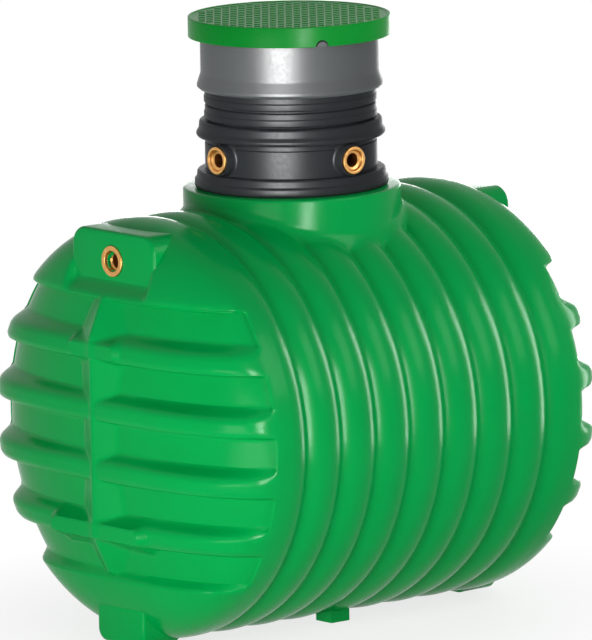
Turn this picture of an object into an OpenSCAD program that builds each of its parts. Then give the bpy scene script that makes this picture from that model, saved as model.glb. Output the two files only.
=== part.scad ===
/* [Barrel] */
// Radius over the crests of the barrel's ribs
crest_r = 675; // [600:1:760]
// How far the barrel's ribs clear the floor
floor_room = 5; // [2:1:20]
// Length of one rib along the barrel
rib_pitch = 143; // [130:1:160]
// Radius of a rib's rounded crest
rib_crest_r = 124; // [105:1:160]
// Wall of the moulded tank
wall = 10; // [6:0.5:14]

/* [Ends] */
// How far an end's ribs and domes bulge past the barrel
end_depth = 272; // [266:1:300]
// How far the floor of an end's recesses lies behind the ribs
recess = 40; // [25:1:50]
// Roundness of the bulge from top to bottom, 2 is an ellipse and more is squarer
end_power = 2.3; // [2:0.05:2.6]
// Roundness of the ribs and domes from side to side
side_power = 2.8; // [2.6:0.05:3.4]
// Roundness of the recess floor from side to side
recess_power = 2.1; // [2:0.05:2.3]
// Where the level ribs begin to run out, as a share of the half width
run_out = 0.97; // [0.85:0.01:0.97]
// Distance between two of the end's level ribs
level_pitch = 193; // [185:1:205]
// Height of a level rib's face below its middle
rib_below = 45; // [35:1:50]
// Height of a level rib's face above its middle
rib_above = 20; // [15:1:30]
// Height of the sloping shoulder above a level rib's face
rib_shoulder = 28; // [20:1:35]

/* [Fin and pads] */
// Thickness of the parting fin at its edge
fin_t = 12; // [8:1:24]
// Half width of the ramp that leads up to the fin
ramp_w = 100; // [60:1:120]
// How far the fin's edge stands past the middle of the end
fin_proud = 1; // [0:0.5:5]
// How far the pads stand past the middle of the end
pad_proud = 6; // [4:1:12]
// Height of a pad
pad_h = 66; // [50:1:76]
// Width of the upper pad
upper_pad_w = 246; // [200:1:400]
// Width of the lower pad
lower_pad_w = 460; // [300:1:560]

/* [Port bosses] */
// Width of the boss around an end's port
boss_w = 410; // [300:1:460]
// How far the boss's top lies below the top of the barrel
boss_drop = 26; // [20:1:50]
// Radius of the boss's upper corners
boss_corner_r = 65; // [20:1:90]
// How far the boss reaches past the barrel
boss_reach = 172; // [165:1:180]
// Thickness of the boss's plate
boss_plate = 12; // [8:1:16]
// Height of the boss's top over the middle of the port
port_drop = 96; // [90:1:110]
// Height of the middle of the port over the boss's lower edge
port_rise = 101; // [90:1:104]

/* [Feet] */
// Width of an end foot
end_foot_w = 230; // [160:1:320]
// Height of an end foot
end_foot_h = 147; // [110:1:170]
// How far an end foot reaches past the barrel
end_foot_reach = 172; // [150:1:185]
// Radius of an end foot's lower corners
foot_corner_r = 45; // [10:1:60]
// Length of a side foot along the barrel
side_foot_l = 76; // [60:1:120]
// Width of a side foot across the barrel
side_foot_w = 76; // [60:1:120]
// Distance of a side foot's middle from the centre line
side_foot_y = 167; // [130:1:200]

/* [Neck] */
// How far the neck around the manway stands out past the riser's wall
neck_out = 74; // [66:1:90]
// Height of the neck's top over the top of the barrel
neck_h = 43; // [36:1:80]
// Wall of the neck
neck_wall = 12; // [8:1:16]
// How far the riser's spigot in the neck stands out past the riser's wall
spigot_out = 7; // [4:1:10]
// How far the spigot reaches into the neck
spigot_l = 60; // [30:1:90]

/* [Riser] */
// Radius of the riser's plain wall
riser_r = 275; // [262:1:290]
// How far the rings stand out past the riser's wall
ring_out = 2; // [1:0.5:3]
// Depth of the grooves between the rings
ring_groove = 11; // [6:1:12]
// Wall of the riser
riser_wall = 6; // [4:1:8]
// Height of the riser's foot flange
flange_h = 56; // [40:1:60]
// How far the foot flange stands out past the riser's wall
flange_out = 36; // [28:1:44]
// Height of the plain wall that carries the ports
port_wall_h = 105; // [102:1:120]
// How far the collar over the ports stands out past the riser's wall
collar_out = 28; // [20:1:34]
// Height of the collar
collar_h = 56; // [45:1:65]
// Height of one ring with its groove
ring_pitch = 51; // [48:1:54]

/* [Riser ports] */
// Radius of the stub around a riser's port
stub_r = 50; // [46:0.5:51]
// How far a stub's face stands out past the riser's wall
stub_out = 32; // [26:1:40]

/* [Brass sockets] */
// Outer radius of an end's socket
end_socket_r = 50; // [40:0.5:56]
// Radius of an end socket's bore
end_bore_r = 25; // [20:0.5:28]
// Outer radius of a riser's socket
riser_socket_r = 44.5; // [40:0.5:45]
// Radius of a riser socket's bore
riser_bore_r = 22.5; // [18:0.5:24]
// How far a socket stands out of what it sits in
socket_proud = 7; // [2:0.5:10]
// Thickness of a socket's head
socket_head = 26; // [16:1:28]
// Depth of the step in a socket
socket_step = 12; // [6:1:14]
// Wall of a socket's tail
socket_wall = 7; // [4:0.5:9]

/* [Telescope ring] */
// How far the telescope ring stands out past the riser's wall
scope_out = 11; // [10:0.5:13]
// Wall of the telescope ring
scope_wall = 4; // [3:0.5:4]
// How far the flare at the ring's foot stands out past the ring
flare_out = 12; // [10:0.5:14]
// Height of the ring
scope_h = 225; // [200:1:240]
// Height of the flare
flare_h = 52; // [40:1:60]
// Height of the ring's foot over the collar
scope_gap = 99; // [96:1:110]

/* [Lid] */
// How far the lid's rim stands out past the telescope ring
lid_out = 38; // [34:1:50]
// Height of the lid's rim
lid_h = 65; // [50:1:80]
// Thickness of the lid's plate
lid_t = 8; // [5:0.5:12]
// Wall of the lid's rim
lid_wall = 6; // [4:0.5:8]
// Radius of the locating lug
lug_r = 16; // [10:1:18]
// Room around the locating lug in the rim's notch
lug_room = 6; // [5:0.5:10]
// Turn of the lug's place about the lid's axis
lug_turn = 249; // [200:0.5:290]

/* [Hidden] */

green = "#009b48";
lid_green = "#0a8c2d";
dark_grey = "#46494d";
mid_grey = "#858a8c";
brass = "#d8a050";
rubber = "#1c1c1e";

$fn = 96;
fine = 360;                             // finer circles, for the cut of a small block by the barrel
gap = 0.3;                              // clearance between curved faces of two pieces
over = 1;                               // how far a cut runs on past what it cuts
root = 100;                             // how far a block reaches into what it is set on
half_turn = 180;
rib_gaps = 8;                           // grooves along the barrel, between its nine ribs
segment_turn = 45;                      // turn of one barrel segment about the axis
axis_h = crest_r + floor_room;
half_barrel = rib_gaps * rib_pitch / 2;
end_x = half_barrel + end_depth;
recess_depth = end_depth - recess;
dome_angles = [84, 76, 68, 60, 53, 47];   // heights of the rows on the plain domes
end_step = 6;                            // turn between two points across the end
rim_part = 0.03;                         // share of the half width in which the ribs run out
rib_lip = 4;                             // height of the step under a level rib
low_round = 18;                          // height of the rounding at a rib's lower edge
high_round = 14;                         // height of the rounding at a rib's upper edge
low_share = 0.8;                         // share of the rib's height at its lower edge
high_share = 0.85;                       // share of the rib's height at its upper edge
dome_share = 0.95;                       // share of the rib's height at the lower dome's edge
lip_low = 2.5 * level_pitch - rib_below; // lower edge of the upper dome over the axis
shelf_top = 2.5 * level_pitch - rib_above;  // upper edge of the lower dome under the axis

fin_reach = end_depth + fin_proud;
fin_flat = 1.65 * level_pitch;           // half height of the fin's straight edge
fin_foot = recess_depth - 10;            // reach of the fin at its two ends and its ramps' feet
pad_reach = end_depth + pad_proud;
pad_shift = 10;                          // how far a pad's middle lies below its rib's

boss_x = -half_barrel - boss_reach;
boss_top = crest_r - boss_drop;
port_z = boss_top - port_drop;
boss_low = port_z - port_rise;
tail_end = 40;                           // reach past the barrel at which a socket's tail ends

neck_r = riser_r + neck_out;
neck_top = crest_r + neck_h;
spigot_r = riser_r + spigot_out;
ring_r = riser_r + ring_out;
flange_r = riser_r + flange_out;
flange_step = 10;                        // inset of the flange's upper half
flange_slope = 3;
collar_r = riser_r + collar_out;
collar_step = 6;
ring_edge = 4;                           // height of a ring's sloping edge
rings = 4;
panel_w = 2 * stub_r + 12;               // width of the wall panel that carries a stub
stub_reach = riser_r + stub_out;
tail_in = 25;                            // length of a riser socket's tail behind the wall's face
scope_r = riser_r + scope_out;
flare_r = scope_r + flare_out;
flare_lip = 8;
flare_wall = 5;
seal_h = 16;
lid_r = scope_r + lid_out;
lug_back = 3;                            // how far a lug ends behind the lid's rim

neck_z = axis_h + neck_top;
collar_z = neck_z + flange_h + port_wall_h;
rings_z = collar_z + collar_h;
riser_z = rings_z + rings * ring_pitch;
scope_z = rings_z + scope_gap;
scope_top = scope_z + scope_h;
lid_z = scope_top + lid_t - lid_h;
rings_bore_r = ring_r - ring_groove - riser_wall;
riser_port_z = neck_z + flange_h + port_wall_h / 2;

// Share of the full bulge at a distance t from the middle, as a part of the half width
function share(t, power) = pow(max(0, 1 - pow(abs(t), power)), 1 / power);

// Rows (height over the axis, share of the rib's height) up one end, each rib narrowed by inset
function rib_rows(middle, inset) = [
    [middle - rib_below - rib_lip + inset, 0], [middle - rib_below + inset, low_share],
    [middle - rib_below + low_round + inset, 1], [middle + rib_above - high_round - inset, 1],
    [middle + rib_above - inset, high_share], [middle + rib_above + rib_shoulder - inset, 0]
];
function end_rows(rim, inset) = concat(
    [for (a = dome_angles) [-rim * sin(a), 1]],
    [[-shelf_top - inset, dome_share], [-shelf_top + rib_shoulder - inset, 0]],
    [for (i = [-1.5 : 1.5]) each rib_rows(i * level_pitch, inset)],
    [[lip_low - rib_lip + inset, 0], [lip_low + inset, low_share], [lip_low + low_round + inset, 1]],
    [for (i = [len(dome_angles) - 1 : -1 : 0]) [rim * sin(dome_angles[i]), 1]]
);

// How far the ribs have run out at a distance t from the middle, as a part of the half width
function faded(t) = let (u = min(1, max(0, (abs(t) - run_out) / rim_part))) u * u * (3 - 2 * u);

// One row of points across the end, from -Y to +Y
function end_row(rim, inset, row) = let (half = sqrt(rim * rim - row[0] * row[0]), up = row[0] / rim) [
    for (a = [-90 : end_step : 90]) let (
        side = sin(a),
        low = (recess_depth - inset) * share(up, end_power) * share(side, recess_power),
        high = (end_depth - inset) * share(up, end_power) * share(side, side_power),
        part = row[1] + (1 - row[1]) * faded(side)
    ) [-half_barrel - low - part * (high - low), half * side, axis_h + row[0]]
];

// Bulging skin of the front end as rows of points, first and last row a single point
function end_skin(rim, inset) = concat(
    [[for (a = [-90 : end_step : 90]) [-half_barrel, 0, axis_h - rim]]],
    [for (row = end_rows(rim, inset)) end_row(rim, inset, row)],
    [[for (a = [-90 : end_step : 90]) [-half_barrel, 0, axis_h + rim]]]
);

// Quads over a grid of rows by columns, starting at a point number
function grid_faces(rows, columns, first, flip) = [
    for (r = [0 : rows - 2]) for (c = [0 : columns - 2]) let (
        a = first + r * columns + c, quad = [a, a + 1, a + 1 + columns, a + columns]
    ) flip ? [for (i = [3 : -1 : 0]) quad[i]] : quad
];

// Turns what is built about +Z to lie about the barrel's axis, with +Z towards +X
module along_barrel() {
    translate([0, 0, axis_h]) rotate([0, 90, 0]) children();
}

// Copies a front piece, at -X, to the rear end
module at_rear() {
    mirror([1, 0, 0]) children();
}

// Outer form of the ribbed barrel, grown by extra
module barrel_form(extra) {
    along_barrel() rotate_extrude() intersection() {
        union() {
            for (i = [-rib_gaps / 2 : rib_gaps / 2])
                translate([crest_r - rib_crest_r, i * rib_pitch]) circle(r = rib_crest_r + extra);
            translate([0, -half_barrel]) square([crest_r - rib_crest_r, 2 * half_barrel]);
        }
        translate([0, -half_barrel]) square([2 * crest_r, 2 * half_barrel]);
    }
}

// Solid between the front end's skin and a flat back, grown by extra
module end_form(extra) {
    skin = end_skin(crest_r + extra, -extra);
    rows = len(skin);
    columns = len(skin[0]);
    points = [for (row = skin) each row];
    rim = concat([for (r = [0 : rows - 1]) r * columns],
                 [for (r = [rows - 2 : -1 : 1]) r * columns + columns - 1]);
    polyhedron(points, concat(grid_faces(rows, columns, 0, false), [rim]));
}

// Seat of an end's socket, through boss and end
module end_socket_seat() {
    translate([boss_x, 0, axis_h + port_z]) rotate([0, 90, 0]) {
        cylinder(h = socket_head - socket_proud + gap, r = end_socket_r + gap);
        cylinder(h = end_depth, r = end_bore_r + socket_wall + gap);
    }
}

// Outline of the boss across the barrel, grown by extra
module boss_outline(extra) {
    half = boss_w / 2 - boss_corner_r;
    translate([-boss_w / 2 - extra, boss_low - extra])
        square([boss_w + 2 * extra, boss_top - boss_corner_r - boss_low + extra]);
    translate([-half, port_z]) square([2 * half, boss_top - port_z + extra]);
    for (side = [-1, 1])
        translate([side * half, boss_top - boss_corner_r]) circle(r = boss_corner_r + extra);
}

// Room cut out of the end in front of the plane that lies deep behind the boss's face
module boss_room(deep, extra) {
    translate([-end_x - root, 0, axis_h]) rotate([90, 0, 90])
        linear_extrude(root + end_depth - boss_reach + deep) boss_outline(extra);
}

module front_end_shell() {
    difference() {
        end_form(0);
        difference() {
            translate([over, 0, 0]) end_form(-wall);
            boss_room(boss_plate + wall, wall);
        }
        boss_room(boss_plate, gap);
        end_socket_seat();
    }
}

module boss() {
    difference() {
        translate([boss_x, 0, axis_h]) rotate([90, 0, 90])
            linear_extrude(boss_reach - root / 2) boss_outline(0);
        difference() {
            end_form(gap);
            boss_room(boss_plate, root);
        }
        end_socket_seat();
    }
}

// Brass socket with a stepped bore, its face at z = 0 and its tail towards +Z
module socket(head_r, bore_r, tail) {
    difference() {
        union() {
            cylinder(h = socket_head, r = head_r);
            cylinder(h = tail, r = bore_r + socket_wall);
        }
        translate([0, 0, -over]) cylinder(h = tail + 2 * over, r = bore_r);
        translate([0, 0, -over]) cylinder(h = socket_step + over, r = (head_r + bore_r) / 2);
    }
}

module end_socket() {
    translate([boss_x - socket_proud, 0, axis_h + port_z]) rotate([0, 90, 0])
        socket(end_socket_r, end_bore_r, boss_reach + socket_proud - tail_end);
}

// Pad on a level rib, grown by extra
module pad(w, level, extra) {
    translate([-half_barrel - pad_reach - extra, 0, axis_h + level]) rotate([90, 0, 90])
        linear_extrude(pad_reach - recess_depth + root / 2) {
            square([w - pad_h, pad_h + 2 * extra], center = true);
            for (side = [-1, 1])
                translate([side * (w - pad_h) / 2, 0]) circle(r = pad_h / 2 + extra);
        }
}

module upper_pad_form(extra) {
    pad(upper_pad_w, 1.5 * level_pitch - pad_shift, extra);
}

module lower_pad_form(extra) {
    pad(lower_pad_w, -1.5 * level_pitch - pad_shift, extra);
}

module upper_pad() {
    difference() {
        upper_pad_form(0);
        end_form(gap);
    }
}

module lower_pad() {
    difference() {
        lower_pad_form(0);
        end_form(gap);
    }
}

module fin() {
    difference() {
        intersection() {
            translate([0, ramp_w + over, 0]) rotate([90, 0, 0]) linear_extrude(2 * ramp_w + 2 * over)
                translate([-half_barrel, axis_h]) polygon([
                    [-fin_reach, -fin_flat], [-fin_reach, fin_flat],
                    [-fin_foot, lip_low - over], [-fin_foot + root, lip_low - over],
                    [-fin_foot + root, -shelf_top], [-fin_foot, -shelf_top]
                ]);
            translate([-half_barrel, 0, axis_h - crest_r]) linear_extrude(2 * crest_r) polygon([
                [-fin_reach, -fin_t / 2], [-fin_reach, fin_t / 2],
                [-fin_foot, ramp_w], [-fin_foot + root, ramp_w],
                [-fin_foot + root, -ramp_w], [-fin_foot, -ramp_w]
            ]);
        }
        end_form(gap);
        upper_pad_form(gap);
        lower_pad_form(gap);
    }
}

module end_foot() {
    difference() {
        translate([-half_barrel - end_foot_reach, 0, 0]) rotate([90, 0, 90])
            linear_extrude(end_foot_reach - root / 4) {
                translate([-end_foot_w / 2, foot_corner_r])
                    square([end_foot_w, end_foot_h - foot_corner_r]);
                translate([-end_foot_w / 2 + foot_corner_r, 0])
                    square([end_foot_w - 2 * foot_corner_r, end_foot_h]);
                for (side = [-1, 1])
                    translate([side * (end_foot_w / 2 - foot_corner_r), foot_corner_r])
                        circle(r = foot_corner_r);
            }
        end_form(gap);
    }
}

module side_foot() {
    difference() {
        translate([-side_foot_l / 2, -side_foot_y - side_foot_w / 2, 0])
            cube([side_foot_l, side_foot_w, floor_room + root]);
        barrel_form(gap, $fn = fine);
    }
}

// Segment of the barrel's shell; side is 1 on the left, from is its first turn from the top
module barrel_segment(side, from) {
    color(green) intersection() {
        difference() {
            barrel_form(0);
            along_barrel() rotate_extrude() {
                for (i = [-rib_gaps / 2 : rib_gaps / 2])
                    translate([crest_r - rib_crest_r, i * rib_pitch])
                        circle(r = rib_crest_r - wall);
                translate([0, -half_barrel - over])
                    square([crest_r - rib_crest_r, 2 * half_barrel + 2 * over]);
            }
            translate([0, 0, axis_h]) cylinder(h = 2 * crest_r, r = neck_r - neck_wall);
        }
        translate([-end_x, 0, axis_h]) rotate([90, 0, 90]) linear_extrude(2 * end_x) polygon([
            [0, 0], for (turn = [from, from + segment_turn])
                [side * 2 * crest_r * sin(turn), 2 * crest_r * cos(turn)]
        ]);
    }
}

module manway_neck() {
    color(green) difference() {
        translate([0, 0, axis_h + crest_r / 2])
            cylinder(h = neck_top - crest_r / 2, r = neck_r);
        translate([0, 0, axis_h])
            cylinder(h = neck_top - neck_wall, r = neck_r - neck_wall);
        translate([0, 0, axis_h]) cylinder(h = neck_top + over, r = spigot_r + over);
        barrel_form(gap);
    }
}

// Turned piece of the riser with a straight bore and the outline (radius, height) given
module riser_piece(bore_r, outline) {
    low = outline[0][1];
    high = outline[len(outline) - 1][1];
    color(dark_grey) rotate_extrude() polygon(concat([[bore_r, low]], outline, [[bore_r, high]]));
}

module riser_foot() {
    riser_piece(riser_r - riser_wall, [
        [spigot_r, neck_z - spigot_l], [spigot_r, neck_z], [flange_r, neck_z],
        [flange_r, neck_z + flange_h / 2],
        [flange_r - flange_step, neck_z + flange_h / 2 + flange_slope],
        [flange_r - flange_step, neck_z + flange_h]
    ]);
}

module port_wall_ring() {
    riser_piece(riser_r - riser_wall, [[riser_r, neck_z + flange_h], [riser_r, collar_z]]);
}

// Space in which the wall belongs to the stub at this turn
module panel_space(turn) {
    rotate([0, 0, turn]) translate([0, -panel_w / 2, neck_z]) cube([2 * riser_r, panel_w, 2 * root]);
}

// The plain wall in the four parts between the panels that carry the stubs
module riser_port_wall() {
    difference() {
        port_wall_ring();
        for (turn = [0 : 90 : 270]) panel_space(turn);
    }
}

module riser_collar() {
    riser_piece(rings_bore_r, [
        [collar_r - collar_step, collar_z], [collar_r, collar_z + collar_step],
        [collar_r, collar_z + 2 * collar_step],
        [collar_r - 1.4 * collar_step, collar_z + collar_h / 2],
        [collar_r - 1.4 * collar_step, rings_z - collar_step],
        [collar_r - 2.4 * collar_step, rings_z]
    ]);
}

// Outline (radius, height) of one ring, from its foot up
function ring_outline(i) = let (z = rings_z + i * ring_pitch) [
    [ring_r - ring_groove, z], [ring_r - ring_groove, z + ring_edge], [ring_r, z + 2 * ring_edge],
    [ring_r, z + ring_pitch - ring_edge], [ring_r - ring_groove, z + ring_pitch - ring_edge / 8]
];

module riser_rings() {
    riser_piece(rings_bore_r, [for (i = [0 : rings - 1]) each ring_outline(i)]);
}

// Panel of the port wall with the stub on it and the seat of its socket
module stub(turn) {
    color(dark_grey) difference() {
        union() {
            intersection() {
                port_wall_ring();
                panel_space(turn);
            }
            difference() {
                translate([0, 0, riser_port_z]) rotate([0, 90, turn])
                    cylinder(h = stub_reach, r = stub_r);
                translate([0, 0, neck_z]) cylinder(h = 2 * root, r = riser_r - riser_wall / 2);
            }
        }
        translate([0, 0, riser_port_z]) rotate([0, 90, turn])
            cylinder(h = stub_reach, r = riser_bore_r + socket_wall + gap);
        translate([0, 0, riser_port_z]) rotate([0, 90, turn])
            translate([0, 0, stub_reach + socket_proud - socket_head - gap])
                cylinder(h = socket_head, r = riser_socket_r + gap);
    }
}

module riser_socket(turn) {
    color(brass) translate([0, 0, riser_port_z]) rotate([0, 0, turn])
        translate([stub_reach + socket_proud, 0, 0]) rotate([0, -90, 0])
            socket(riser_socket_r, riser_bore_r, stub_out + socket_proud + tail_in);
}

module telescope_ring() {
    color(mid_grey) rotate_extrude() polygon([
        [scope_r - scope_wall, scope_top], [scope_r, scope_top],
        [scope_r, scope_z + flare_h], [flare_r, scope_z + 2 * flare_lip],
        [flare_r, scope_z + flare_lip], [flare_r - flare_lip, scope_z],
        [scope_r - scope_wall, scope_z], [scope_r - scope_wall, scope_z + flare_wall],
        [flare_r - flare_wall, scope_z + flare_wall],
        [flare_r - flare_wall, scope_z + flare_wall + seal_h + over],
        [scope_r - scope_wall, scope_z + flare_h]
    ]);
}

module telescope_seal() {
    color(rubber) translate([0, 0, scope_z + flare_wall]) difference() {
        cylinder(h = seal_h, r = flare_r - flare_wall - gap);
        translate([0, 0, -over]) cylinder(h = seal_h + 2 * over, r = ring_r + gap);
    }
}

// Half-round lug on the telescope ring, flat at the height of the lid rim's lower edge
module lug(turn) {
    color(mid_grey) difference() {
        rotate([0, 0, turn]) translate([scope_r - root, 0, lid_z]) rotate([0, 90, 0])
            cylinder(h = lid_out - lug_back + root, r = lug_r);
        translate([0, 0, lid_z - root]) cylinder(h = root, r = lid_r);
        translate([0, 0, lid_z - root]) cylinder(h = 2 * root, r = scope_r + gap);
    }
}

module lid() {
    color(lid_green) difference() {
        translate([0, 0, lid_z]) cylinder(h = lid_h, r = lid_r);
        translate([0, 0, lid_z - over]) cylinder(h = lid_h - lid_t + over, r = lid_r - lid_wall);
        for (turn = [0, half_turn]) rotate([0, 0, lug_turn + turn])
            translate([scope_r, 0, lid_z]) rotate([0, 90, 0])
                cylinder(h = lid_r, r = lug_r + lug_room);
    }
}

barrel_segment(1, 0);  // barrel_crown_left
barrel_segment(-1, 0);  // barrel_crown_right
barrel_segment(1, segment_turn);  // barrel_shoulder_left
barrel_segment(-1, segment_turn);  // barrel_shoulder_right
barrel_segment(1, 2 * segment_turn);  // barrel_flank_left
barrel_segment(-1, 2 * segment_turn);  // barrel_flank_right
barrel_segment(1, 3 * segment_turn);  // barrel_keel_left
barrel_segment(-1, 3 * segment_turn);  // barrel_keel_right
color(green) front_end_shell();  // front_end
color(green) at_rear() front_end_shell();  // rear_end
color(green) fin();  // front_parting_fin
color(green) at_rear() fin();  // rear_parting_fin
color(green) upper_pad();  // front_upper_pad
color(green) lower_pad();  // front_lower_pad
color(green) at_rear() upper_pad();  // rear_upper_pad
color(green) at_rear() lower_pad();  // rear_lower_pad
color(green) boss();  // front_port_boss
color(green) at_rear() boss();  // rear_port_boss
color(brass) end_socket();  // front_socket
color(brass) at_rear() end_socket();  // rear_socket
color(green) end_foot();  // front_foot
color(green) at_rear() end_foot();  // rear_foot
color(green) mirror([0, 1, 0]) side_foot();  // left_foot
color(green) side_foot();  // right_foot
manway_neck();
riser_foot();
riser_port_wall();
riser_collar();
riser_rings();
stub(180);  // front_stub
stub(270);  // right_stub
stub(0);  // rear_stub
stub(90);  // left_stub
riser_socket(180);  // front_riser_socket
riser_socket(270);  // right_riser_socket
riser_socket(0);  // rear_riser_socket
riser_socket(90);  // left_riser_socket
telescope_ring();
telescope_seal();
lug(lug_turn);  // front_lug
lug(lug_turn + half_turn);  // rear_lug
lid();
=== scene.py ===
import math

import bmesh
import bpy
from mathutils import Matrix, Vector


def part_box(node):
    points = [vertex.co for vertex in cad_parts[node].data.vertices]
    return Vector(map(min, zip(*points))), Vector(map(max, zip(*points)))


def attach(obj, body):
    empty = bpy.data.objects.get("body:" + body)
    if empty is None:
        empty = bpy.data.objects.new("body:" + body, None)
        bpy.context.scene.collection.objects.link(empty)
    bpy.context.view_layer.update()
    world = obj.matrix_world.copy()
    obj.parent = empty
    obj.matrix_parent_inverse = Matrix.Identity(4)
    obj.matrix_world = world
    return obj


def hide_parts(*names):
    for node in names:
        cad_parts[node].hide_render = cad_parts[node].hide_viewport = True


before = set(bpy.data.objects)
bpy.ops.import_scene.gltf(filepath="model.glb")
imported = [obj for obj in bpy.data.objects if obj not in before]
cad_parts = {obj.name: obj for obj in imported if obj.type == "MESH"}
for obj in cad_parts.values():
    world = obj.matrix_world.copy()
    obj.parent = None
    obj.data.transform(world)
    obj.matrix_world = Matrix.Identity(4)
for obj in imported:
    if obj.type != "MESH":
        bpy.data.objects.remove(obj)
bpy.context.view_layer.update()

# ---------------------------------------------------------------- sizes, in metres

barrel_low, barrel_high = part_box("barrel_shoulder_left")
neck_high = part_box("manway_neck")[1]
collar_low, collar_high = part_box("riser_collar")
rings_low, rings_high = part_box("riser_rings")
scope_low, scope_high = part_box("telescope_ring")
lid_low, lid_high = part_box("lid")
boss_low, boss_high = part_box("front_port_boss")
foot_low, foot_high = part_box("front_foot")
lower_pad_low, lower_pad_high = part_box("front_lower_pad")
upper_pad_low, upper_pad_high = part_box("front_upper_pad")

axis_z = barrel_low.z
crest_r = barrel_high.y
half_barrel = barrel_high.x
rib_count = 8
rib_pitch = 2 * half_barrel / rib_count
rib_crest_r = 0.124
wall = 0.010
groove_fillet = 0.004

end_depth = 0.272
recess_depth = 0.232
end_power = 2.3
side_power = 2.8
recess_power = 2.1
run_out = 0.97
rim_part = 0.03
level_pitch = 0.193
rib_below = 0.045
rib_above = 0.020
rib_shoulder = 0.028
rib_lip = 0.004          # height of the step under a level rib
low_round = 0.018        # height of the rounding at a rib's lower edge
high_round = 0.014       # height of the rounding at a rib's upper edge
low_share = 0.8          # share of the rib's height at its lower edge
high_share = 0.85        # share of the rib's height at its upper edge
dome_share = 0.95        # share of the rib's height at the lower dome's edge
lip_low = 2.5 * level_pitch - rib_below       # height of the upper dome's lip over the middle
shelf_top = 2.5 * level_pitch - rib_above     # depth of the lower dome's edge below the middle
fin_t = 0.010
fin_reach = 0.273
fin_ramp = 0.100
fin_flat = 1.65 * level_pitch    # the fin's edge is straight this far up and down
pad_reach = -lower_pad_low.x - half_barrel
pad_h = lower_pad_high.z - lower_pad_low.z

boss_corner_r = 0.065
foot_corner_r = 0.045
boss_face = -boss_low.x - half_barrel
boss_half_w = boss_high.y
boss_skin = 0.004        # how far the end's skin lies behind the boss's face
port_z = axis_z + 0.553
end_socket_r = 0.050
end_bore_r = 0.025

neck_r = neck_high.x
neck_wall = 0.012
neck_fillet = 0.022
spigot_r = 0.283
bore_r = 0.269

stub_r = 0.050
riser_r = 0.275
riser_socket_r = 0.0445
riser_bore_r = 0.0225
flange_h = 0.056
port_wall_h = 0.105
riser_port_z = neck_high.z + flange_h + port_wall_h / 2
socket_proud = 0.007
socket_head = 0.026      # depth of a socket's wide head
socket_wall = 0.007      # wall of a socket's tail
seat_gap = 0.0002

sharp_turn = 32          # degrees between two faces from which their edge stays sharp


# ---------------------------------------------------------------- mesh helpers

def finish_piece(name, bm, material, body, replaced=(), sharp=sharp_turn):
    """Turns a bmesh into a smooth piece that rides on a body and stands for the CAD nodes named."""
    mesh = bpy.data.meshes.new(name)
    bm.to_mesh(mesh)
    bm.free()
    mesh.materials.append(material)
    mesh.shade_smooth()
    mesh.set_sharp_from_angle(angle=math.radians(sharp))
    piece = bpy.data.objects.new(name, mesh)
    bpy.context.scene.collection.objects.link(piece)
    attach(piece, body)
    if replaced:
        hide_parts(*replaced)
    return piece


def close_up(bm):
    """Merges doubles and points the faces outwards."""
    bmesh.ops.remove_doubles(bm, verts=bm.verts, dist=2e-6)
    bmesh.ops.recalc_face_normals(bm, faces=bm.faces)


def grid_surface(bm, place, columns, rows):
    """A grid of columns by rows faces, each corner put where place(u, v) says, u and v from 0 to 1."""
    grid = bmesh.ops.create_grid(bm, x_segments=columns, y_segments=rows, size=0.5)
    for vert in grid["verts"]:
        vert.co = place(round((vert.co.x + 0.5) * columns) / columns,
                        round((vert.co.y + 0.5) * rows) / rows)


def turned(bm, outline, steps, axis="Z", at=(0, 0, 0)):
    """Spins a closed outline of (radius, height) about an axis through a point."""
    verts = [bm.verts.new((radius, 0, height)) for radius, height in outline]
    edges = [bm.edges.new((verts[i - 1], verts[i])) for i in range(len(verts))]
    bmesh.ops.spin(bm, geom=verts + edges, cent=(0, 0, 0), axis=(0, 0, 1), steps=steps,
                   angle=2 * math.pi, use_merge=True, use_duplicate=False)
    lay = {"Z": Matrix(), "X": Matrix.Rotation(math.pi / 2, 4, "Y")}[axis]
    whole = {v for v in bm.verts if v.is_valid}
    bmesh.ops.transform(bm, matrix=Matrix.Translation(at) @ lay, verts=list(whole))


def rounded(outline, radii, segments=4):
    """An outline with its corners rounded: radii gives each corner's radius, 0 for a sharp one."""
    out = []
    for i, (corner, radius) in enumerate(zip(outline, radii)):
        here = Vector(corner)
        if radius == 0:
            out.append(tuple(here))
            continue
        back = (Vector(outline[i - 1]) - here)
        ahead = (Vector(outline[(i + 1) % len(outline)]) - here)
        start = here + back.normalized() * min(radius, back.length / 2.05)
        end = here + ahead.normalized() * min(radius, ahead.length / 2.05)
        for k in range(segments + 1):
            t = k / segments
            out.append(tuple((1 - t) ** 2 * start + 2 * t * (1 - t) * here + t * t * end))
    return out


def cut_away(piece, cutters):
    """Takes each cutter out of a piece and keeps the result as the piece's own mesh."""
    for cutter in cutters:
        modifier = piece.modifiers.new("cut", "BOOLEAN")
        modifier.object = cutter
        modifier.operation = "DIFFERENCE"
        modifier.solver = "EXACT"
    bpy.context.view_layer.update()
    depsgraph = bpy.context.evaluated_depsgraph_get()
    cut = bpy.data.meshes.new_from_object(piece.evaluated_get(depsgraph))
    cut.shade_smooth()
    cut.set_sharp_from_angle(angle=math.radians(sharp_turn))
    piece.modifiers.clear()
    piece.data = cut
    for cutter in cutters:
        bpy.data.objects.remove(cutter)


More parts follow.
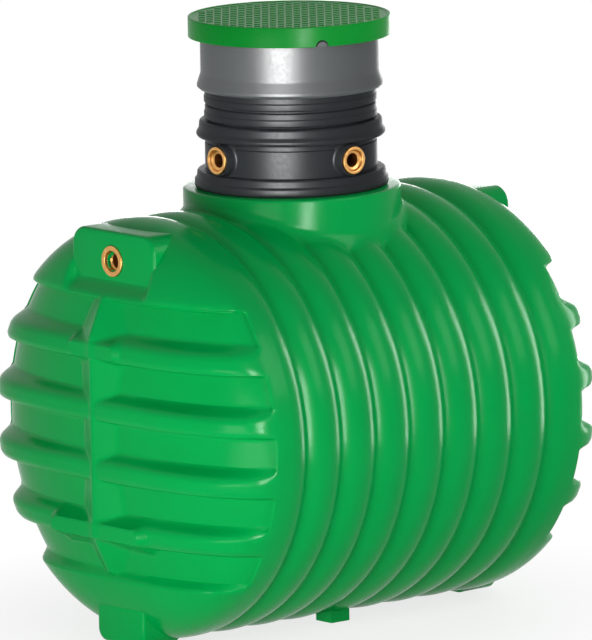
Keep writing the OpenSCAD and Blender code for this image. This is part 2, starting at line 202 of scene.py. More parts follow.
def rod(radius, length, start, direction):
    """A plain cylinder used only to cut with."""
    bm = bmesh.new()
    bmesh.ops.create_cone(bm, cap_ends=True, segments=64, radius1=radius, radius2=radius, depth=length)
    turn = Vector((0, 0, 1)).rotation_difference(Vector(direction)).to_matrix().to_4x4()
    middle = Vector(start) + Vector(direction) * length / 2
    bmesh.ops.transform(bm, matrix=Matrix.Translation(middle) @ turn, verts=bm.verts)
    mesh = bpy.data.meshes.new("rod")
    bm.to_mesh(mesh)
    bm.free()
    cutter = bpy.data.objects.new("rod", mesh)
    bpy.context.scene.collection.objects.link(cutter)
    return cutter


def smoothstep(low, high, value):
    t = max(0.0, min(1.0, (value - low) / (high - low)))
    return t * t * (3 - 2 * t)


def soft_max(a, b, radius):
    """The larger of two values, rounded over where they are within radius of each other."""
    near = max(radius - abs(a - b), 0) / radius
    return max(a, b) + near * near * radius / 4


# ---------------------------------------------------------------- materials

def new_material(name):
    material = bpy.data.materials.new(name)
    material.use_nodes = True
    nodes = material.node_tree.nodes
    return material, nodes, material.node_tree.links, nodes["Principled BSDF"]


def noise(nodes, links, coords, scale, detail=3.0, roughness=0.5):
    node = nodes.new("ShaderNodeTexNoise")
    node.inputs["Scale"].default_value = scale
    node.inputs["Detail"].default_value = detail
    node.inputs["Roughness"].default_value = roughness
    links.new(coords, node.inputs["Vector"])
    return node.outputs["Fac"]


def ramp(nodes, links, value, stops):
    node = nodes.new("ShaderNodeValToRGB")
    while len(node.color_ramp.elements) < len(stops):
        node.color_ramp.elements.new(0.5)
    for element, (position, colour) in zip(node.color_ramp.elements, stops):
        element.position = position
        element.color = (*colour, 1)
    links.new(value, node.inputs["Fac"])
    return node.outputs["Color"]


def spread(nodes, links, value, low, high):
    """Maps a texture's middle range to low .. high."""
    node = nodes.new("ShaderNodeMapRange")
    node.inputs["From Min"].default_value = 0.3
    node.inputs["From Max"].default_value = 0.7
    node.inputs["To Min"].default_value = low
    node.inputs["To Max"].default_value = high
    links.new(value, node.inputs["Value"])
    return node.outputs["Result"]


def bumps(nodes, links, layers):
    """Chains bump layers of (height, strength, distance) and returns the normal."""
    normal = None
    for height, strength, distance in layers:
        node = nodes.new("ShaderNodeBump")
        node.inputs["Strength"].default_value = strength
        node.inputs["Distance"].default_value = distance
        links.new(height, node.inputs["Height"])
        if normal is not None:
            links.new(normal, node.inputs["Normal"])
        normal = node.outputs["Normal"]
    return normal


def moulded_plastic(name, colour, shade, roughness, grain=0.0004, level=0.35):
    """Satin moulded polyethylene: a slight cloud in the colour, fine orange peel and a soft sheen."""
    material, nodes, links, shader = new_material(name)
    coords = nodes.new("ShaderNodeTexCoord").outputs["Object"]
    cloud = noise(nodes, links, coords, 5.0, 4.0)
    links.new(ramp(nodes, links, cloud, [(0.3, shade), (0.7, colour)]), shader.inputs["Base Color"])
    fine = noise(nodes, links, coords, 420.0, 2.0)
    peel = noise(nodes, links, coords, 90.0, 2.0)
    links.new(spread(nodes, links, peel, roughness - 0.04, roughness + 0.05), shader.inputs["Roughness"])
    links.new(bumps(nodes, links, [(peel, 0.10, grain * 2), (fine, 0.12, grain)]), shader.inputs["Normal"])
    shader.inputs["Specular IOR Level"].default_value = level
    return material


def turned_brass(name):
    """Turned brass with a fine grain bump in its surface and a little tarnish."""
    material, nodes, links, shader = new_material(name)
    coords = nodes.new("ShaderNodeTexCoord").outputs["Object"]
    cloud = noise(nodes, links, coords, 60.0, 4.0)
    links.new(ramp(nodes, links, cloud, [(0.3, (0.55, 0.27, 0.080)), (0.7, (0.72, 0.40, 0.14))]),
              shader.inputs["Base Color"])
    fine = noise(nodes, links, coords, 900.0, 2.0)
    links.new(spread(nodes, links, cloud, 0.30, 0.42), shader.inputs["Roughness"])
    links.new(bumps(nodes, links, [(fine, 0.05, 0.0001)]), shader.inputs["Normal"])
    shader.inputs["Metallic"].default_value = 1.0
    return material


def matte_rubber(name):
    material, nodes, links, shader = new_material(name)
    coords = nodes.new("ShaderNodeTexCoord").outputs["Object"]
    cloud = noise(nodes, links, coords, 30.0, 3.0)
    links.new(ramp(nodes, links, cloud, [(0.3, (0.010, 0.010, 0.011)), (0.7, (0.018, 0.018, 0.019))]),
              shader.inputs["Base Color"])
    fine = noise(nodes, links, coords, 700.0, 2.0)
    links.new(bumps(nodes, links, [(fine, 0.2, 0.0003)]), shader.inputs["Normal"])
    shader.inputs["Roughness"].default_value = 0.7
    return material


tank_green = moulded_plastic("tank_green", (0.0, 0.335, 0.066), (0.0, 0.318, 0.062), 0.22, level=0.06)
lid_green = moulded_plastic("lid_green", (0.004, 0.275, 0.030), (0.003, 0.250, 0.026), 0.30, level=0.05)
riser_dark = moulded_plastic("riser_dark", (0.040, 0.043, 0.047), (0.034, 0.037, 0.041), 0.38, level=0.03)
ring_grey = moulded_plastic("ring_grey", (0.150, 0.159, 0.164), (0.138, 0.147, 0.152), 0.38, level=0.09)
brass_socket = turned_brass("brass_socket")
seal_rubber = matte_rubber("seal_rubber")


# ---------------------------------------------------------------- the barrel

def barrel_radius(x, inset=0.0):
    """Radius of the ribbed barrel's skin at a place along it."""
    near = round(x / rib_pitch)
    radii = []
    for rib in (near - 1, near, near + 1):
        along = x - rib * rib_pitch
        reach = (rib_crest_r - inset) ** 2 - along ** 2
        radii.append(crest_r - rib_crest_r + math.sqrt(max(reach, 0)))
    radii.sort()
    return soft_max(radii[-1], radii[-2], groove_fillet)


def barrel_top(x, y):
    """Height of the barrel's skin over a point of the floor."""
    return axis_z + math.sqrt(max(barrel_radius(x) ** 2 - y * y, 0))


def barrel_stations(points):
    """Places along the barrel, closer together at the grooves, with a short last step at each end."""
    stations = [-half_barrel, -half_barrel + 0.0006]
    for i in range(1, rib_count * points):
        rib, part = divmod(i + points // 2, points)
        turn = (part / points - 0.5) * math.pi
        along = (rib + 0.5 * math.sin(turn)) * rib_pitch
        stations.append(-half_barrel + along)
    return sorted(stations + [half_barrel - 0.0006, half_barrel])


def build_barrel():
    bm = bmesh.new()
    outer = [(barrel_radius(x), x) for x in barrel_stations(16)]
    inner = [(barrel_radius(x, wall), x) for x in reversed(barrel_stations(8))]
    turned(bm, outer + inner, 256, axis="X", at=(0, 0, axis_z))
    close_up(bm)
    piece = finish_piece("barrel_skin", bm, tank_green, "tank",
                         ["barrel_" + level + "_" + side for side in ("left", "right")
                          for level in ("crown", "shoulder", "flank", "keel")])
    cut_away(piece, [rod(neck_r - neck_wall / 2, 2 * crest_r, (0, 0, axis_z), (0, 0, 1))])


# ---------------------------------------------------------------- the ends

def share(t, power):
    """Share of the full bulge at a distance t from the middle, as a part of the half width."""
    return max(0.0, 1 - abs(t) ** power) ** (1 / power)


def rib_outline():
    """(height over the axis, share of the rib's height) up the end, as straight runs."""
    runs = [(-crest_r, 1), (-shelf_top, dome_share), (-shelf_top + rib_shoulder, 0)]
    for i in range(4):
        middle = (i - 1.5) * level_pitch
        runs += [(middle - rib_below - rib_lip, 0), (middle - rib_below, low_share),
                 (middle - rib_below + low_round, 1), (middle + rib_above - high_round, 1),
                 (middle + rib_above, high_share), (middle + rib_above + rib_shoulder, 0)]
    return runs + [(lip_low - rib_lip, 0), (lip_low, low_share), (lip_low + low_round, 1), (crest_r, 1)]


def rib_share(z, runs, softness=0.004):
    """Share of the rib's height at a height over the axis, its corners eased over the softness."""
    total = 0.0
    samples = 5
    for k in range(samples):
        at = max(-crest_r, min(crest_r, z + softness * (2 * k / (samples - 1) - 1)))
        for (z0, m0), (z1, m1) in zip(runs, runs[1:]):
            if z0 <= at <= z1:
                total += m0 + (m1 - m0) * (at - z0) / (z1 - z0)
                break
    return total / samples


def end_heights():
    """Heights over the axis of the rows up the end, closest under each rib and at the poles."""
    edges = [(i - 1.5) * level_pitch - rib_below for i in range(5)]
    limit = math.sin(math.radians(48)) * crest_r
    heights = []
    z = -limit
    while z < limit:
        heights.append(z)
        z += 0.0025 if any(-0.012 < z - edge < 0.010 for edge in edges) else 0.006
    domes = [math.sin(math.radians(48 + 1.5 * k)) * crest_r for k in range(29)]
    return [-z for z in reversed(domes)] + heights[1:] + domes


def pad_depth(y, z, low, high):
    """How far a pad stands out at a point, falling away steeply outside its capsule outline."""
    radius = pad_h / 2
    centre = (low.z + high.z) / 2 - axis_z
    outside = math.hypot(max(abs(y) - (high.y - radius), 0), z - centre) - radius
    return pad_reach - 0.004 - 2.0 * max(0, outside + 0.010)


def fin_depth(y, z):
    """How far the parting fin stands out, with its ramps and its slanting ends."""
    reach = fin_reach
    if z > fin_flat:
        reach -= (fin_reach - recess_depth + 0.010) * (z - fin_flat) / (lip_low - fin_flat)
    if z < -fin_flat:
        reach -= (fin_reach - recess_depth + 0.030) * (-fin_flat - z) / (shelf_top - fin_flat)
    slope = (fin_reach - recess_depth + 0.010) / (fin_ramp - fin_t / 2)
    return reach - slope * max(0, abs(y) - fin_t / 2)


def flattened(depth, y, z):
    """Leads the dome back behind the boss's flat face, with a soft run-out below it."""
    low = boss_low.z - axis_z
    part = smoothstep(low - 0.015, low + 0.052, z)
    part *= 1 - smoothstep(boss_half_w - 0.030, boss_half_w + 0.004, abs(y))
    behind = min(depth, boss_face - boss_skin)
    return depth + part * (behind - depth)


def end_depth_at(y, z, side, inset, runs):
    """How far the end's skin bulges past the barrel."""
    up = z / crest_r
    low = (recess_depth - inset) * share(up, end_power) * share(side, recess_power)
    high = (end_depth - inset) * share(up, end_power) * share(side, side_power)
    part = rib_share(z, runs)
    part += (1 - part) * smoothstep(run_out, run_out + rim_part, abs(side))
    depth = low + part * (high - low)
    if inset:
        return flattened(depth + inset, y, z) - inset
    if -2.3 * level_pitch < z < 2.35 * level_pitch:
        depth = soft_max(depth, fin_depth(y, z), 0.005)
        depth = soft_max(depth, pad_depth(y, z, lower_pad_low, lower_pad_high), 0.016)
        depth = soft_max(depth, pad_depth(y, z, upper_pad_low, upper_pad_high), 0.016)
    return flattened(depth, y, z)


def build_end(name, prefix, facing):
    """One end as a shell: facing is -1 for the front and 1 for the rear."""
    columns = 150
    runs = rib_outline()
    heights = end_heights()
    rows = len(heights) - 1
    bm = bmesh.new()
    for inset in (0.0, wall):
        def place(u, v):
            z = heights[round(v * rows)]
            across = 2 * u - 1
            half = math.sqrt(max(crest_r ** 2 - z ** 2, 0))
            even = min(0.32, 0.9 * half)
            turn = math.radians(90 * (0.3 * across + 0.7 * across ** 3))
            side = math.copysign(abs(math.sin(turn)) ** 0.8, across)
            close = even * across + (half - even) * across ** 3
            y = close + (half * side - close) * smoothstep(0.25, 0.6, abs(across))
            side = y / half if half > 1e-9 else 0
            depth = end_depth_at(y, z, side, inset, runs)
            scale = (crest_r - inset) / crest_r
            return Vector((facing * (half_barrel + depth), y * scale, axis_z + z * scale))
        grid_surface(bm, place, columns, rows)
    bm.verts.index_update()
    faces = list(bm.faces)
    half_count = len(faces) // 2
    hole = [i for i in range(half_count)
            if any(math.hypot(v.co.y, v.co.z - port_z) < end_bore_r + 0.001 for v in faces[i].verts)
            and abs(faces[i].calc_center_median().x) > half_barrel]
    bmesh.ops.delete(bm, geom=[faces[i + shift] for i in hole for shift in (0, half_count)],
                     context="FACES")
    bmesh.ops.remove_doubles(bm, verts=bm.verts, dist=1e-6)
    open_edges = [e for e in bm.edges if e.is_boundary]
    near_port = [e for e in open_edges if all(math.hypot(v.co.y, v.co.z - port_z) < 0.06 for v in e.verts)]
    at_rim = [e for e in open_edges if e not in set(near_port)]
    bmesh.ops.bridge_loops(bm, edges=near_port)
    bmesh.ops.bridge_loops(bm, edges=at_rim)
    close_up(bm)
    finish_piece(name, bm, tank_green, "tank",
                 [prefix + "_end", prefix + "_parting_fin", prefix + "_upper_pad", prefix + "_lower_pad"])


# ---------------------------------------------------------------- bosses and feet

def block_on_end(name, node, low, high, corner_r, corners_up, facing, front_edge, draft):
    """A moulded block on an end: a flat face with two round corners, drafted sides and an eased edge."""
    bm = bmesh.new()
    bmesh.ops.create_grid(bm, x_segments=1, y_segments=1, size=0.5)
    width = high.y - low.y
    height = high.z - low.z
    face_x = low.x
    for vert in bm.verts:
        vert.co = Vector((face_x, vert.co.x * width, low.z + (vert.co.y + 0.5) * height))
    chosen = [v for v in bm.verts if (v.co.z > (low.z + high.z) / 2) == corners_up]
    bmesh.ops.bevel(bm, geom=chosen, offset=corner_r * 0.9, segments=12, profile=0.5,
                    affect="VERTICES", material=-1)
    out = bmesh.ops.extrude_face_region(bm, geom=bm.faces[:], use_keep_orig=True)
    back = [g for g in out["geom"] if isinstance(g, bmesh.types.BMVert)]
    length = -half_barrel - 0.03 - face_x
    for vert in back:
        vert.co.x += length
        vert.co.y *= 1 + 2 * draft * length / width
    close_up(bm)
    edges = [e for e in bm.edges if all(abs(v.co.x - face_x) < 1e-6 for v in e.verts)]
    bmesh.ops.bevel(bm, geom=edges, offset=front_edge, segments=5, profile=0.5,
                    affect="EDGES", material=-1)
    if facing > 0:
        bmesh.ops.scale(bm, vec=(-1, 1, 1), verts=bm.verts)
    close_up(bm)
    return finish_piece(name, bm, tank_green, "tank", [node], sharp=40)


def build_bosses_and_feet():
    for prefix, facing in (("front", -1), ("rear", 1)):
        boss = block_on_end(prefix + "_boss", prefix + "_port_boss", boss_low, boss_high,
                            boss_corner_r, True, facing, 0.012, 0.02)
        outward = Vector((facing, 0, 0))
        face = Vector((facing * -boss_low.x, 0, port_z))
        seat = socket_head - socket_proud + seat_gap
        cut_away(boss, [rod(end_socket_r + 2 * seat_gap, 0.06, face - outward * seat, outward),
                        rod(end_bore_r + socket_wall + 2 * seat_gap, 0.5, face - outward * 0.4, outward)])
        block_on_end(prefix + "_foot_block", prefix + "_foot", foot_low, foot_high,
                     foot_corner_r, False, facing, 0.014, 0.10)


# ---------------------------------------------------------------- the neck

def build_neck():
    """The neck around the manway, blended into the ribbed barrel by a fillet."""
    segments = 288
    skirt = [(neck_r + neck_fillet + 0.010, 1, -0.004)]
    for k in range(13):
        ahead = neck_fillet * (1 - k / 12) ** 1.5
        lift = neck_fillet - math.sqrt(neck_fillet ** 2 - (neck_fillet - ahead) ** 2)
        skirt.append((neck_r + ahead, 1, lift + 0.0004))
    top = neck_high.z
    edge = 0.009
    arc = [math.radians(90 * k / 5) for k in range(6)]
    rows = skirt + [(neck_r - edge * (1 - math.cos(t)), 0, top - edge * (1 - math.sin(t))) for t in arc]
    rows += [(spigot_r + 0.004, 0, top), (spigot_r, 0, top - 0.004), (spigot_r, 0, top - neck_wall),
             (neck_r - neck_wall, 0, top - neck_wall - 0.004), (neck_r - neck_wall, 1, -wall - 0.004),
             (neck_r - neck_wall / 2, 1, -wall)]
    rows.append(rows[0])

    def place(u, v):
        radius, on_barrel, height = rows[round(v * (len(rows) - 1))]
        turn = 2 * math.pi * u
        x, y = radius * math.cos(turn), radius * math.sin(turn)
        if not on_barrel:
            return Vector((x, y, height))
        plain = axis_z + math.sqrt(crest_r ** 2 - y * y)
        filled = smoothstep(neck_r + 1.2 * neck_fillet, neck_r, radius)
        return Vector((x, y, barrel_top(x, y) * (1 - filled) + plain * filled + height))

    bm = bmesh.new()
    grid_surface(bm, place, segments, len(rows) - 1)
    close_up(bm)
    finish_piece("neck", bm, tank_green, "tank", ["manway_neck"])


# ---------------------------------------------------------------- the riser

def build_riser():
    foot = neck_high.z
    wall_z = foot + flange_h
    collar_z = collar_low.z
    top = rings_high.z
    flange_r = 0.311
    upper_bore_r = 0.260
    tail_r = spigot_r - 0.001
    outline = [(bore_r, foot - 0.060), (tail_r, foot - 0.060), (tail_r, foot), (flange_r, foot),
               (flange_r, foot + 0.026), (flange_r - 0.007, foot + 0.031), (flange_r - 0.010, wall_z),
               (riser_r, wall_z), (riser_r, wall_z + 0.02), (bore_r, wall_z + 0.02)]
    radii = [0, 0.003, 0, 0.012, 0.008, 0.003, 0.008, 0.003, 0, 0]
    bm = bmesh.new()
    turned(bm, rounded(outline, radii), 192)
    close_up(bm)
    finish_piece("riser_flange", bm, riser_dark, "tank", ["riser_foot"])

    bm = bmesh.new()
    low = wall_z - 0.01
    step_z = riser_port_z + 0.034
    outline = [(bore_r, low), (riser_r + 0.001, low), (riser_r + 0.001, step_z),
               (riser_r - 0.003, step_z + 0.003), (riser_r - 0.003, collar_z + 0.01),
               (bore_r, collar_z + 0.01)]
    turned(bm, rounded(outline, [0, 0, 0.001, 0.001, 0, 0]), 192)
    close_up(bm)
    port_wall = finish_piece("riser_wall", bm, riser_dark, "tank", ["riser_port_wall"])
    turns = (0, math.pi / 2, math.pi, 1.5 * math.pi)
    ways = [Vector((math.cos(turn), math.sin(turn), 0)) for turn in turns]
    cut_away(port_wall, [rod(riser_bore_r + socket_wall + seat_gap, 0.2,
                             way * 0.2 + Vector((0, 0, riser_port_z)), way) for way in ways])

    bm = bmesh.new()
    collar_r = collar_high.x
    rings_z = rings_low.z
    outline = [(upper_bore_r, collar_z), (riser_r + 0.003, collar_z), (collar_r - 0.006, collar_z + 0.001),
               (collar_r, collar_z + 0.008), (collar_r, collar_z + 0.016),
               (collar_r - 0.008, collar_z + 0.028), (collar_r - 0.010, rings_z - 0.005),
               (collar_r - 0.016, rings_z), (upper_bore_r, rings_z)]
    turned(bm, rounded(outline, [0, 0, 0.004, 0.005, 0.005, 0.004, 0.004, 0.004, 0]), 192)
    close_up(bm)
    finish_piece("collar", bm, riser_dark, "tank", ["riser_collar"])

    bm = bmesh.new()
    ring_r = rings_high.x
    groove_r = ring_r - 0.011
    pitch = (top - rings_z) / 4
    outline = [(upper_bore_r, rings_z)]
    radii = [0]
    for i in range(4):
        z = rings_z + i * pitch
        outline += [(groove_r, z), (groove_r, z + 0.003), (ring_r, z + 0.006), (ring_r, z + pitch * 0.5),
                    (ring_r - 0.003, z + pitch * 0.5 + 0.004), (ring_r - 0.003, z + pitch - 0.004),
                    (groove_r, z + pitch - 0.001)]
        radii += [0.001, 0.001, 0.003, 0.002, 0.001, 0.003, 0.0005]
    outline.append((upper_bore_r, top - 0.001))
    radii.append(0)
    turned(bm, rounded(outline, radii, 3), 192)
    close_up(bm)
    finish_piece("rings", bm, riser_dark, "tank", ["riser_rings"])


def socket_outline(head_r, hole_r, tail, mouth_r, mouth_depth):
    """Half outline of a brass socket, its face at height 0, and its mouth and tail upwards from there."""
    outline = [(mouth_r, 0), (head_r, 0), (head_r, socket_head), (hole_r + socket_wall, socket_head),
               (hole_r + socket_wall, tail), (hole_r, tail), (hole_r, mouth_depth + 0.0025),
               (hole_r + 0.002, mouth_depth + 0.002), (mouth_r - 0.003, mouth_depth)]
    return rounded(outline, [0.003, 0.004, 0.001, 0, 0.001, 0.001, 0.001, 0.001, 0.002], 3)


def build_sockets():
    face_x = -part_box("front_socket")[0].x
    for prefix, facing in (("front", -1), ("rear", 1)):
        bm = bmesh.new()
        turned(bm, socket_outline(end_socket_r, end_bore_r, 0.139, 0.034, 0.024), 96)
        lay = Matrix.Rotation(-facing * math.pi / 2, 4, "Y")
        move = Matrix.Translation((facing * face_x, 0, port_z))
        bmesh.ops.transform(bm, matrix=move @ lay, verts=bm.verts)
        close_up(bm)
        finish_piece(prefix + "_brass_socket", bm, brass_socket, "tank",
                     [prefix + "_socket"])

    stub_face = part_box("rear_stub")[1].x
    for side, turn in (("rear", 0), ("left", 90), ("front", 180), ("right", 270)):
        around = Matrix.Rotation(math.radians(turn), 4, "Z") @ Matrix.Translation((0, 0, riser_port_z))
        bm = bmesh.new()
        turned(bm, socket_outline(riser_socket_r, riser_bore_r, 0.064, 0.034, 0.010), 96)
        lay = Matrix.Translation((stub_face + socket_proud, 0, 0)) @ Matrix.Rotation(-math.pi / 2, 4, "Y")
        bmesh.ops.transform(bm, matrix=around @ lay, verts=bm.verts)
        close_up(bm)
        finish_piece(side + "_riser_brass_socket", bm, brass_socket, "tank",
                     [side + "_riser_socket"])
        build_stub(side, around, stub_face)


def build_stub(side, around, face):
    """A stub around a riser port, blended into the round wall by a fillet."""
    fillet = 0.009
    rows = [(riser_socket_r + 0.0005, 0, face - 0.019), (riser_socket_r + 0.0005, 0, face - 0.002),
            (riser_socket_r + 0.002, 0, face), (stub_r - 0.003, 0, face), (stub_r - 0.001, 0, face - 0.001),
            (stub_r, 0, face - 0.003)]
    for k in range(7):
        out = fillet * (k / 6) ** 1.5
        lift = fillet - math.sqrt(fillet ** 2 - (fillet - out) ** 2)
        rows.append((stub_r + out, 1, lift + 0.0002))
    rows += [(stub_r + fillet + 0.002, 1, -0.002), (riser_bore_r + 0.0075, 1, -0.003),
             (riser_bore_r + 0.0075, 0, face - 0.019)]
    rows.append(rows[0])

    def place(u, v):
        radius, on_wall, out = rows[round(v * (len(rows) - 1))]
        y, z = radius * math.cos(2 * math.pi * u), radius * math.sin(2 * math.pi * u)
        x = out + (math.sqrt(riser_r ** 2 - y * y) if on_wall else 0)
        return around @ Vector((x, y, z))

    bm = bmesh.new()
    grid_surface(bm, place, 96, len(rows) - 1)
    close_up(bm)
    finish_piece(side + "_port_stub", bm, riser_dark, "tank", [side + "_stub"])


# ---------------------------------------------------------------- telescope ring and lid

def build_telescope():
    foot, top = scope_low.z, scope_high.z
    tube_r = 0.286
    flare_r = scope_high.x
    inner = tube_r - 0.004
    outline = [(inner, top), (tube_r, top), (tube_r, foot + 0.052), (flare_r, foot + 0.016),
               (flare_r, foot + 0.008), (flare_r - 0.008, foot), (inner, foot), (inner, foot + 0.005),
               (flare_r - 0.005, foot + 0.005), (flare_r - 0.005, foot + 0.022), (inner, foot + 0.052)]
    bm = bmesh.new()
    turned(bm, rounded(outline, [0.001, 0.0015, 0.006, 0.002, 0.001, 0.001, 0.001, 0.001, 0, 0, 0]), 192)
    close_up(bm)
    finish_piece("telescope_tube", bm, ring_grey, "telescope", ["telescope_ring"])


def build_lid():
    low, top = lid_low.z, lid_high.z
    radius = lid_high.x
    plate = 0.008
    rim = 0.006
    tread = 0.003
    outline = [(0, top - tread), (radius - 0.012, top - tread), (radius - 0.009, top), (radius, top),
               (radius, low), (radius - rim, low), (radius - rim, top - plate), (0, top - plate)]
    bm = bmesh.new()
    turned(bm, rounded(outline, [0, 0.001, 0.002, 0.004, 0.002, 0.001, 0.002, 0]), 192)
    close_up(bm)
    plate_piece = finish_piece("cover", bm, lid_green, "lid", ["lid"])
    lug_turn = math.radians(249)
    notch_r = 0.022
    notches = []
    for turn in (lug_turn, lug_turn + math.pi):
        outward = Vector((math.cos(turn), math.sin(turn), 0))
        notches.append(rod(notch_r, 0.08, outward * 0.29 + Vector((0, 0, low)), outward))
    cut_away(plate_piece, notches)

    build_tread(radius - 0.024, top, tread)


def build_tread(reach, top, tread):
    """The lid's raised tread: short bars in staggered columns."""
    tread_turn = math.radians(50.1)
    along = Vector((math.cos(tread_turn), math.sin(tread_turn), 0))
    across = Vector((-math.sin(tread_turn), math.cos(tread_turn), 0))
    column_pitch = 0.0253
    row_pitch = 0.0410
    bar_w = 0.0225
    bar_l = 0.0190
    bm = bmesh.new()
    count = int(reach / column_pitch) + 1
    rows = int(reach / row_pitch) + 1
    for i in range(-count, count + 1):
        for j in range(-rows, rows + 1):
            centre = across * i * column_pitch + along * (j + 0.5 * (i % 2)) * row_pitch
            if centre.length > reach:
                continue
            bar = bmesh.ops.create_cube(bm, size=1)["verts"]
            for vert in bar:
                narrow = 0.82 if vert.co.z > 0 else 1.0
                shift = across * vert.co.x * bar_w * narrow
                shift += along * vert.co.y * bar_l * narrow
                up = top - 0.0004 if vert.co.z > 0 else top - tread - 0.001
                vert.co = centre + shift + Vector((0, 0, up))
    finish_piece("cover_tread", bm, lid_green, "lid")


# ---------------------------------------------------------------- camera, light and floor

view_azimuth = 50.1
view_elevation = 9.3
view_roll = 1.0
view_width = 1.900
aim_lift = 0.273
aim_side = 0.001
camera_distance = 40.0


def view_axes():
    a, e = math.radians(view_azimuth), math.radians(view_elevation)
    back = Vector((-math.cos(a) * math.cos(e), -math.sin(a) * math.cos(e), math.sin(e)))
    level = Vector((math.sin(a), -math.cos(a), 0))
    right = Matrix.Rotation(math.radians(-view_roll), 3, back) @ level
    return back, right, back.cross(right)


def set_camera():
    back, right, up = view_axes()
    data = bpy.data.cameras.new("camera")
    data.sensor_fit = "HORIZONTAL"
    data.sensor_width = 36.0
    data.lens = data.sensor_width * camera_distance / view_width
    data.clip_end = 200.0
    camera = bpy.data.objects.new("camera", data)
    aim = Vector((0, 0, axis_z)) + up * aim_lift + right * aim_side
    camera.matrix_world = Matrix.Translation(aim + back * camera_distance) @ Matrix(
        (right, up, back)).transposed().to_4x4()
    bpy.context.scene.collection.objects.link(camera)
    bpy.context.scene.camera = camera


def soft_lamp(name, turn, elevation, distance, width, height, power, aim_z=0.8, sheen_only=False):
    """A soft rectangular lamp, turn degrees to the right of the camera as the camera looks.

    One for the sheen only adds highlights and no light to a surface's own colour.
    """
    a = math.radians(view_azimuth + turn)
    e = math.radians(elevation)
    back = Vector((-math.cos(a) * math.cos(e), -math.sin(a) * math.cos(e), math.sin(e)))
    data = bpy.data.lights.new(name, "AREA")
    data.shape = "RECTANGLE"
    data.size = width
    data.size_y = height
    data.energy = power
    lamp = bpy.data.objects.new(name, data)
    right = Vector((math.sin(a), -math.cos(a), 0))
    lamp.matrix_world = Matrix.Translation(Vector((0, 0, aim_z)) + back * distance) @ Matrix(
        (right, back.cross(right), back)).transposed().to_4x4()
    lamp.visible_camera = False
    lamp.visible_diffuse = not sheen_only
    bpy.context.scene.collection.objects.link(lamp)


def link_light(lamp_name, piece_names, state="INCLUDE"):
    """Keeps a lamp's light to the pieces named, or with EXCLUDE away from them."""
    lit = bpy.data.collections.new(lamp_name + "_link")
    for name in piece_names:
        lit.objects.link(bpy.data.objects[name])
    for entry in lit.collection_objects:
        entry.light_linking.link_state = state
    bpy.data.objects[lamp_name].light_linking.receiver_collection = lit


def shown_directly(nodes, links):
    """1 for camera, glossy and transmission rays, 0 for the rays that light the object."""
    path = nodes.new("ShaderNodeLightPath")
    total = path.outputs["Is Camera Ray"]
    for ray in ("Is Glossy Ray", "Is Transmission Ray"):
        either = nodes.new("ShaderNodeMath")
        either.operation = "MAXIMUM"
        links.new(total, either.inputs[0])
        links.new(path.outputs[ray], either.inputs[1])
        total = either.outputs[0]
    return total


def set_world():
    world = bpy.data.worlds.new("studio")
    world.use_nodes = True
    nodes, links = world.node_tree.nodes, world.node_tree.links
    light = nodes["Background"]
    light.inputs["Color"].default_value = (1, 1, 1, 1)
    light.inputs["Strength"].default_value = 0.22
    white = nodes.new("ShaderNodeBackground")
    white.inputs["Color"].default_value = (1, 1, 1, 1)
    white.inputs["Strength"].default_value = 1.0
    mix = nodes.new("ShaderNodeMixShader")
    links.new(shown_directly(nodes, links), mix.inputs["Fac"])
    links.new(light.outputs[0], mix.inputs[1])
    links.new(white.outputs[0], mix.inputs[2])
    links.new(mix.outputs[0], nodes["World Output"].inputs["Surface"])
    bpy.context.scene.world = world


def set_floor():
    material, nodes, links, shader = new_material("pale_floor")
    shader.inputs["Base Color"].default_value = (0.85, 0.85, 0.85, 1)
    shader.inputs["Roughness"].default_value = 0.9
    glow = nodes.new("ShaderNodeEmission")
    glow.inputs["Color"].default_value = (1, 1, 1, 1)
    coords = nodes.new("ShaderNodeTexCoord").outputs["Object"]
    far = nodes.new("ShaderNodeVectorMath")
    far.operation = "LENGTH"
    links.new(coords, far.inputs[0])
    fade = nodes.new("ShaderNodeMapRange")
    fade.inputs["From Min"].default_value = 0.6
    fade.inputs["From Max"].default_value = 1.5
    fade.inputs["To Min"].default_value = 0.78
    fade.inputs["To Max"].default_value = 1.0
    links.new(far.outputs["Value"], fade.inputs["Value"])
    part = nodes.new("ShaderNodeMath")
    part.operation = "MULTIPLY"
    links.new(fade.outputs["Result"], part.inputs[0])
    links.new(shown_directly(nodes, links), part.inputs[1])
    mix = nodes.new("ShaderNodeMixShader")
    links.new(part.outputs[0], mix.inputs["Fac"])
    links.new(shader.outputs[0], mix.inputs[1])
    links.new(glow.outputs[0], mix.inputs[2])
    links.new(mix.outputs[0], nodes["Material Output"].inputs["Surface"])
    bm = bmesh.new()
    bmesh.ops.create_circle(bm, cap_ends=True, segments=96, radius=40.0)
    mesh = bpy.data.meshes.new("floor")
    bm.to_mesh(mesh)
    bm.free()
    mesh.materials.append(material)
    floor = bpy.data.objects.new("floor", mesh)
    bpy.context.scene.collection.objects.link(floor)


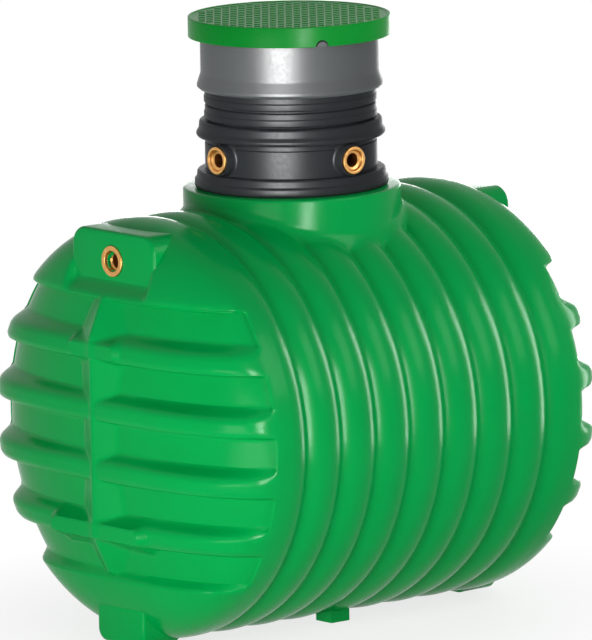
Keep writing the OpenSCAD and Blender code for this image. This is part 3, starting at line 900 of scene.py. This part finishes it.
def dress_kept_nodes():
    """Gives the CAD nodes that stay their material."""
    kept = (("telescope_seal", seal_rubber), ("front_lug", ring_grey), ("rear_lug", ring_grey),
            ("left_foot", tank_green), ("right_foot", tank_green))
    for node, material in kept:
        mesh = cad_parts[node].data
        mesh.materials.clear()
        mesh.materials.append(material)


def set_lamps():
    """Fills for the colours, and strips for the sheen."""
    soft_lamp("front_fill", -24, -2, 5.0, 2.4, 1.6, 112, aim_z=0.7)
    soft_lamp("side_fill", 60, 30, 5.0, 2.0, 2.5, 100)
    soft_lamp("low_fill", -20, -8, 3.0, 2.4, 0.4, 25, aim_z=0.55)
    soft_lamp("back_fill", 172, 4, 5.0, 3.0, 1.8, 90, aim_z=0.7)
    soft_lamp("riser_fill", -10, 3, 4.0, 0.6, 2.4, 80, aim_z=1.6)
    soft_lamp("key_strip", 16, 3, 4.5, 0.90, 3.4, 560, sheen_only=True)
    soft_lamp("side_strip", 108, 6, 3.0, 0.80, 2.4, 100, sheen_only=True)
    soft_lamp("riser_strip", -12, 3, 4.0, 2.4, 2.4, 3400, aim_z=1.6, sheen_only=True)


def link_lamps():
    """Keeps the strips to the pieces they are for, and the fills off the grey ones."""
    grey_pieces = ["riser_flange", "riser_wall", "collar", "rings", "telescope_tube"]
    grey_pieces += [side + "_port_stub" for side in ("front", "right", "rear", "left")]
    link_light("side_strip", ["barrel_skin", "front_end_skin", "rear_end_skin"])
    link_light("key_strip", ["barrel_skin", "front_end_skin", "front_boss", "neck", "cover", "cover_tread"])
    link_light("riser_strip", grey_pieces)
    link_light("riser_fill", grey_pieces)
    for fill in ("front_fill", "side_fill", "low_fill"):
        link_light(fill, grey_pieces, "EXCLUDE")


bpy.context.scene.view_settings.view_transform = "Standard"
set_camera()
set_lamps()
set_world()
set_floor()
build_barrel()
build_end("front_end_skin", "front", -1)
build_end("rear_end_skin", "rear", 1)
build_bosses_and_feet()
build_neck()
build_riser()
build_sockets()
build_telescope()
build_lid()
dress_kept_nodes()
link_lamps()
